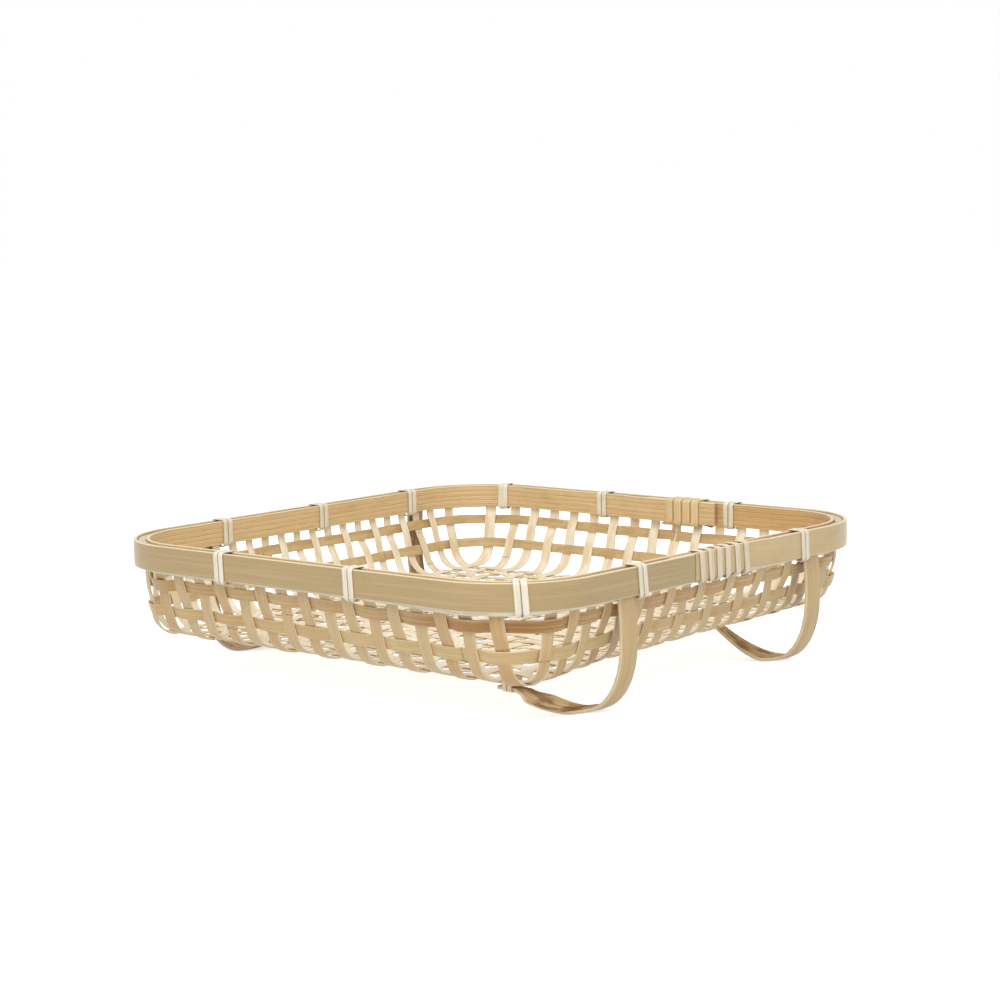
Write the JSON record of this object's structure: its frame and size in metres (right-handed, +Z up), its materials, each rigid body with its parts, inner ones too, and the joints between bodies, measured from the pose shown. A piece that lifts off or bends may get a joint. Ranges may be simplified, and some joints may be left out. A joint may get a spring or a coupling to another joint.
{
  "type": "storage basket",
  "caption": "Square open-weave bamboo tray basket with rounded corners, a lashed double-hoop rim and bent strip feet.",
  "frame": {"origin": "on the floor under the middle of the basket", "axes": "+Z up, +X to the right, the front faces -Y"},
  "size_m": [0.3026, 0.3026, 0.0723],
  "materials": {
    "splint_bamboo": "split bamboo, matt to satin, fine lengthwise fibres",
    "weaver_bamboo": "split bamboo, browner, satin",
    "hoop_bamboo": "olive-tan bamboo skin, satin, fine lengthwise grain",
    "inner_hoop_bamboo": "warm tan split bamboo with lengthwise grooves",
    "foot_bamboo": "bent bamboo strip, satin outside, grooved inside",
    "pale_cane": "peeled cane, off-white, matt",
    "natural_cane": "natural cane, straw-coloured, satin"
  },
  "bodies": {
    "root": {"splint_across_01": "splint_bamboo", "splint_across_02": "splint_bamboo", "splint_across_03": "splint_bamboo", "splint_across_04": "splint_bamboo", "splint_across_05": "splint_bamboo", "splint_across_06": "splint_bamboo", "splint_across_07": "splint_bamboo", "splint_across_08": "splint_bamboo", "splint_across_09": "splint_bamboo", "splint_across_10": "splint_bamboo", "splint_across_11": "splint_bamboo", "splint_across_12": "splint_bamboo", "splint_across_13": "splint_bamboo", "splint_across_14": "splint_bamboo", "splint_across_15": "splint_bamboo", "splint_across_16": "splint_bamboo", "splint_across_17": "splint_bamboo", "splint_along_01": "splint_bamboo", "splint_along_02": "splint_bamboo", "splint_along_03": "splint_bamboo", "splint_along_04": "splint_bamboo", "splint_along_05": "splint_bamboo", "splint_along_06": "splint_bamboo", "splint_along_07": "splint_bamboo", "splint_along_08": "splint_bamboo", "splint_along_09": "splint_bamboo", "splint_along_10": "splint_bamboo", "splint_along_11": "splint_bamboo", "splint_along_12": "splint_bamboo", "splint_along_13": "splint_bamboo", "splint_along_14": "splint_bamboo", "splint_along_15": "splint_bamboo", "splint_along_16": "splint_bamboo", "splint_along_17": "splint_bamboo", "splint_along_18": "splint_bamboo", "splint_along_19": "splint_bamboo", "splint_along_20": "splint_bamboo", "weaver_upper": "weaver_bamboo", "weaver_lower": "weaver_bamboo", "outer_hoop": "hoop_bamboo", "inner_hoop": "inner_hoop_bamboo", "filler_strip": "pale_cane", "outer_hoop_binding": "pale_cane", "inner_hoop_binding": "natural_cane", "lashing_front_left": "pale_cane", "lashing_front_right": "pale_cane", "lashing_front_corner": "pale_cane", "lashing_right_front": "pale_cane", "lashing_right_back": "pale_cane", "lashing_back_right": "pale_cane", "lashing_back_left": "pale_cane", "lashing_back_corner": "pale_cane", "lashing_left_back": "pale_cane", "lashing_left_middle": "pale_cane", "lashing_left_front": "pale_cane", "foot_right_front": "foot_bamboo", "foot_right_back": "foot_bamboo", "foot_left_back": "foot_bamboo", "foot_left_front": "foot_bamboo"}
  },
  "joints": []
}
